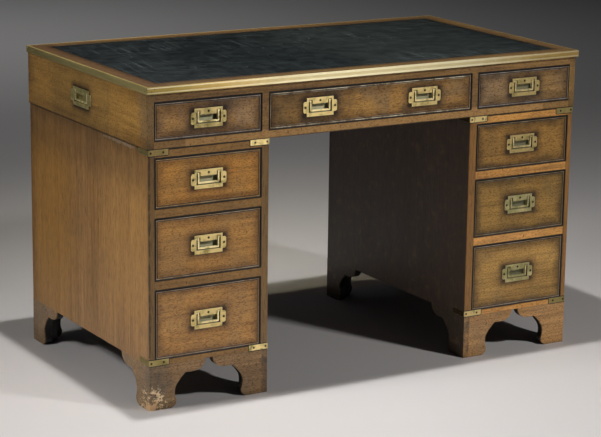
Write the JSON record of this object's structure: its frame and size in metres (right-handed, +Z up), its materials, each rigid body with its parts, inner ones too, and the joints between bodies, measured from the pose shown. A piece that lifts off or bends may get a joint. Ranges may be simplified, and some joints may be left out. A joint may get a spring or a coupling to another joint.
{
  "type": "campaign desk",
  "caption": "Pedestal writing desk in mahogany: a drawer case with a leather top lifts off two drawer pedestals on bracket feet; recessed brass pulls that swing.",
  "frame": {"origin": "middle of the footprint, on the floor", "axes": "+X along the width to the right of someone facing the drawers' side from the front, +Y from the drawer fronts to the back, +Z up"},
  "size_m": [1.2066, 0.6746, 0.762],
  "materials": {
    "mahogany_sides": "faded mahogany, waxed, upright grain",
    "mahogany_fronts": "faded mahogany, waxed, grain along the width",
    "mahogany_band": "mahogany crossbanding, waxed",
    "carcass_wood": "plain unpolished inner wood",
    "writing_leather": "dark blue-black leather, worn",
    "aged_brass": "aged brass, rubbed bright on the edges"
  },
  "bodies": {
    "pedestals": {"left_pedestal_sides": "mahogany_sides", "right_pedestal_sides": "mahogany_sides", "pedestal_cap_and_base_boards": "mahogany_fronts", "pedestal_drawer_rails": "mahogany_fronts", "pedestal_drawer_runners": "carcass_wood", "pedestal_back_panels": "carcass_wood", "brass_corner_straps": "aged_brass", "locating_dowels": "carcass_wood", "left_bracket_feet": "mahogany_sides", "right_bracket_feet": "mahogany_sides"},
    "case": {"top_board": "carcass_wood", "top_crossbanding": "mahogany_band", "leather_writing_surface": "writing_leather", "brass_edge_strips": "aged_brass", "case_end_panels": "mahogany_sides", "carrying_handle_plates": "aged_brass", "case_face_frame": "mahogany_fronts", "case_partitions_and_runners": "carcass_wood", "case_back_board": "carcass_wood", "case_bottom_board": "carcass_wood"},
    "frieze_centre_drawer": {"frieze_centre_drawer_front": "mahogany_fronts", "frieze_centre_drawer_box": "carcass_wood", "frieze_centre_pull_plates": "aged_brass"},
    "frieze_centre_left_pull_bail": {"frieze_centre_left_pull_bail": "aged_brass"},
    "frieze_centre_right_pull_bail": {"frieze_centre_right_pull_bail": "aged_brass"},
    "frieze_left_drawer": {"frieze_left_drawer_front": "mahogany_fronts", "frieze_left_drawer_box": "carcass_wood", "frieze_left_pull_plate": "aged_brass"},
    "frieze_left_pull_bail": {"frieze_left_pull_bail": "aged_brass"},
    "left_upper_drawer": {"left_upper_drawer_front": "mahogany_fronts", "left_upper_drawer_box": "carcass_wood", "left_upper_pull_plate": "aged_brass"},
    "left_upper_pull_bail": {"left_upper_pull_bail": "aged_brass"},
    "left_middle_drawer": {"left_middle_drawer_front": "mahogany_fronts", "left_middle_drawer_box": "carcass_wood", "left_middle_pull_plate": "aged_brass"},
    "left_middle_pull_bail": {"left_middle_pull_bail": "aged_brass"},
    "left_lower_drawer": {"left_lower_drawer_front": "mahogany_fronts", "left_lower_drawer_box": "carcass_wood", "left_lower_pull_plate": "aged_brass"},
    "left_lower_pull_bail": {"left_lower_pull_bail": "aged_brass"},
    "frieze_right_drawer": {"frieze_right_drawer_front": "mahogany_fronts", "frieze_right_drawer_box": "carcass_wood", "frieze_right_pull_plate": "aged_brass"},
    "frieze_right_pull_bail": {"frieze_right_pull_bail": "aged_brass"},
    "right_upper_drawer": {"right_upper_drawer_front": "mahogany_fronts", "right_upper_drawer_box": "carcass_wood", "right_upper_pull_plate": "aged_brass"},
    "right_upper_pull_bail": {"right_upper_pull_bail": "aged_brass"},
    "right_middle_drawer": {"right_middle_drawer_front": "mahogany_fronts", "right_middle_drawer_box": "carcass_wood", "right_middle_pull_plate": "aged_brass"},
    "right_middle_pull_bail": {"right_middle_pull_bail": "aged_brass"},
    "right_lower_drawer": {"right_lower_drawer_front": "mahogany_fronts", "right_lower_drawer_box": "carcass_wood", "right_lower_pull_plate": "aged_brass"},
    "right_lower_pull_bail": {"right_lower_pull_bail": "aged_brass"},
    "left_carrying_bail": {"left_carrying_bail": "aged_brass"},
    "right_carrying_bail": {"right_carrying_bail": "aged_brass"}
  },
  "joints": [
    {"name": "case_lift", "type": "slide", "parent": "pedestals", "child": "case", "axis": [0, 0, 1], "range_m": [0, 0.25]},
    {"name": "frieze_centre_drawer_slide", "type": "slide", "parent": "case", "child": "frieze_centre_drawer", "axis": [0, -1, 0], "range_m": [0, 0.42]},
    {"name": "frieze_centre_left_pull_swing", "type": "hinge", "parent": "frieze_centre_drawer", "child": "frieze_centre_left_pull_bail", "pos_m": [-0.147, -0.3269, 0.6947], "axis": [-1, 0, 0], "range_deg": [0, 90]},
    {"name": "frieze_centre_right_pull_swing", "type": "hinge", "parent": "frieze_centre_drawer", "child": "frieze_centre_right_pull_bail", "pos_m": [0.147, -0.3269, 0.6947], "axis": [-1, 0, 0], "range_deg": [0, 90]},
    {"name": "frieze_left_drawer_slide", "type": "slide", "parent": "case", "child": "frieze_left_drawer", "axis": [0, -1, 0], "range_m": [0, 0.42]},
    {"name": "frieze_left_pull_swing", "type": "hinge", "parent": "frieze_left_drawer", "child": "frieze_left_pull_bail", "pos_m": [-0.44375, -0.3269, 0.6947], "axis": [-1, 0, 0], "range_deg": [0, 90]},
    {"name": "left_upper_drawer_slide", "type": "slide", "parent": "pedestals", "child": "left_upper_drawer", "axis": [0, -1, 0], "range_m": [0, 0.45]},
    {"name": "left_upper_pull_swing", "type": "hinge", "parent": "left_upper_drawer", "child": "left_upper_pull_bail", "pos_m": [-0.443, -0.3269, 0.5518], "axis": [-1, 0, 0], "range_deg": [0, 90]},
    {"name": "left_middle_drawer_slide", "type": "slide", "parent": "pedestals", "child": "left_middle_drawer", "axis": [0, -1, 0], "range_m": [0, 0.45]},
    {"name": "left_middle_pull_swing", "type": "hinge", "parent": "left_middle_drawer", "child": "left_middle_pull_bail", "pos_m": [-0.443, -0.3269, 0.39705], "axis": [-1, 0, 0], "range_deg": [0, 90]},
    {"name": "left_lower_drawer_slide", "type": "slide", "parent": "pedestals", "child": "left_lower_drawer", "axis": [0, -1, 0], "range_m": [0, 0.45]},
    {"name": "left_lower_pull_swing", "type": "hinge", "parent": "left_lower_drawer", "child": "left_lower_pull_bail", "pos_m": [-0.443, -0.3269, 0.21805], "axis": [-1, 0, 0], "range_deg": [0, 90]},
    {"name": "frieze_right_drawer_slide", "type": "slide", "parent": "case", "child": "frieze_right_drawer", "axis": [0, -1, 0], "range_m": [0, 0.42]},
    {"name": "frieze_right_pull_swing", "type": "hinge", "parent": "frieze_right_drawer", "child": "frieze_right_pull_bail", "pos_m": [0.44375, -0.3269, 0.6947], "axis": [-1, 0, 0], "range_deg": [0, 90]},
    {"name": "right_upper_drawer_slide", "type": "slide", "parent": "pedestals", "child": "right_upper_drawer", "axis": [0, -1, 0], "range_m": [0, 0.45]},
    {"name": "right_upper_pull_swing", "type": "hinge", "parent": "right_upper_drawer", "child": "right_upper_pull_bail", "pos_m": [0.443, -0.3269, 0.5518], "axis": [-1, 0, 0], "range_deg": [0, 90]},
    {"name": "right_middle_drawer_slide", "type": "slide", "parent": "pedestals", "child": "right_middle_drawer", "axis": [0, -1, 0], "range_m": [0, 0.45]},
    {"name": "right_middle_pull_swing", "type": "hinge", "parent": "right_middle_drawer", "child": "right_middle_pull_bail", "pos_m": [0.443, -0.3269, 0.39705], "axis": [-1, 0, 0], "range_deg": [0, 90]},
    {"name": "right_lower_drawer_slide", "type": "slide", "parent": "pedestals", "child": "right_lower_drawer", "axis": [0, -1, 0], "range_m": [0, 0.45]},
    {"name": "right_lower_pull_swing", "type": "hinge", "parent": "right_lower_drawer", "child": "right_lower_pull_bail", "pos_m": [0.443, -0.3269, 0.21805], "axis": [-1, 0, 0], "range_deg": [0, 90]},
    {"name": "left_carrying_swing", "type": "hinge", "parent": "case", "child": "left_carrying_bail", "pos_m": [-0.599, 0.021, 0.6954], "axis": [0, 1, 0], "range_deg": [0, 90]},
    {"name": "right_carrying_swing", "type": "hinge", "parent": "case", "child": "right_carrying_bail", "pos_m": [0.599, 0.021, 0.6954], "axis": [0, -1, 0], "range_deg": [0, 90]}
  ]
}
